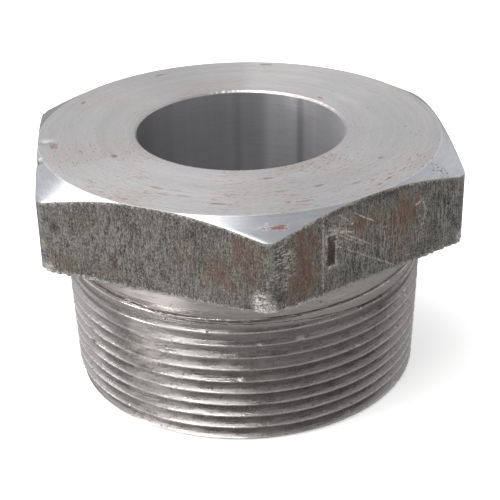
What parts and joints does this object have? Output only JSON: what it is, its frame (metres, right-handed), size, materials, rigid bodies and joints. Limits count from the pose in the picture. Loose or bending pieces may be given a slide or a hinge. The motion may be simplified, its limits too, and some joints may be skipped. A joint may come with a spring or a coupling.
{
  "type": "hex nipple",
  "caption": "Hollow steel hex nipple: hexagon head with chamfered corners, short plain neck, male taper pipe thread and a plain bore right through.",
  "frame": {"origin": "on the bore's axis, in the plane of the threaded end face", "axes": "+Z along the bore from the threaded end to the head's top face; a corner of the hexagon points along -Y and two flats face +X and -X"},
  "size_m": [0.0666, 0.077, 0.042],
  "materials": {
    "machined_steel": "turned face, chamfers, bore and thread; dark mill finish with light rust on the hexagon's flats"
  },
  "bodies": {
    "root": {"hex_nipple_body": "machined_steel"}
  },
  "joints": []
}
